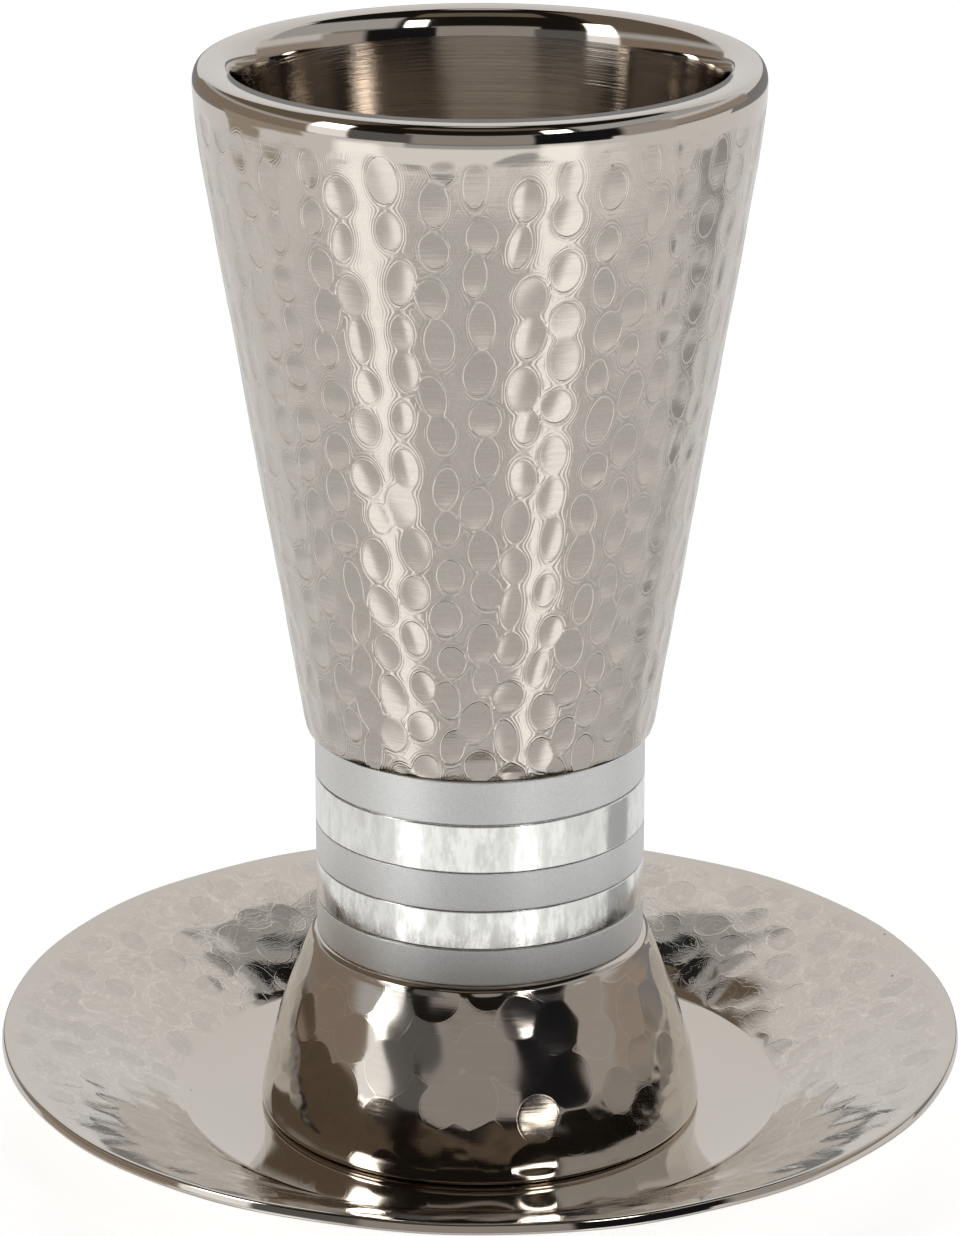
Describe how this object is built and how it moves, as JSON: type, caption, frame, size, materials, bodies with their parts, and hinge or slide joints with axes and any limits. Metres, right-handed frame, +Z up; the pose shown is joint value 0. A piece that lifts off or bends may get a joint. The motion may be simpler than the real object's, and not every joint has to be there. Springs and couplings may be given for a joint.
{
  "type": "kiddush cup",
  "caption": "Conical hammered metal kiddush cup on a neck of satin and polished discs and a bell-shaped foot, standing loose on a matching shallow hammered saucer.",
  "frame": {"origin": "middle of the saucer's underside, on the surface that the object stands on", "axes": "+Z up along the axis that every piece is turned about; +X to the right and -Y towards a person facing it, though the shape is the same from all sides"},
  "size_m": [0.1282, 0.1282, 0.1434],
  "materials": {
    "hammered_satin_nickel": "nickel plated, hammered and brushed satin, with a polished lip",
    "mirror_nickel": "nickel plated, hammered and mirror polished",
    "saucer_nickel": "nickel plated, hammered rim, polished middle",
    "satin_aluminium": "fine matt anodised",
    "polished_aluminium": "bright turned and polished"
  },
  "bodies": {
    "root": {"bowl": "hammered_satin_nickel", "top_satin_ring": "satin_aluminium", "upper_polished_ring": "polished_aluminium", "middle_satin_ring": "satin_aluminium", "lower_polished_ring": "polished_aluminium", "bottom_satin_ring": "satin_aluminium", "foot": "mirror_nickel", "saucer": "saucer_nickel"}
  },
  "joints": []
}
